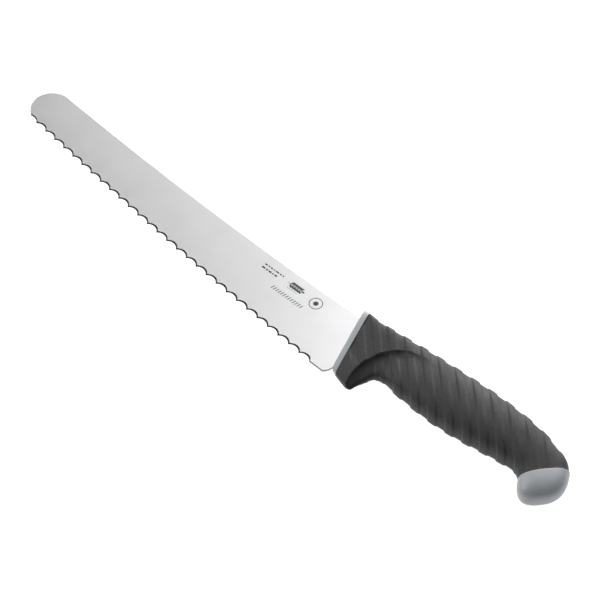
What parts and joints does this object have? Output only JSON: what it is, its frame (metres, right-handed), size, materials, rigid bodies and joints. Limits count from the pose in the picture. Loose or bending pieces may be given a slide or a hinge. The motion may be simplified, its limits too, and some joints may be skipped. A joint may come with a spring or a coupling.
{
  "type": "bread knife",
  "caption": "Bread knife: long scalloped blade with a rounded tip, slanted collar, ribbed soft grip with a finger guard, and a hooked butt cap.",
  "frame": {"origin": "under the middle of the knife's box, on the surface that it lies on", "axes": "+X from the blade's tip to the butt, +Y from the cutting edge to the spine, +Z out of the blade's left face"},
  "size_m": [0.3988, 0.0494, 0.0224],
  "materials": {
    "blade_steel": "fine brushed satin",
    "core_plastic": "satin moulded grey plastic",
    "grip_rubber": "matte, finely grained, diagonally ribbed"
  },
  "bodies": {
    "root": {"blade": "blade_steel", "handle_core": "core_plastic", "grip": "grip_rubber"}
  },
  "joints": []
}
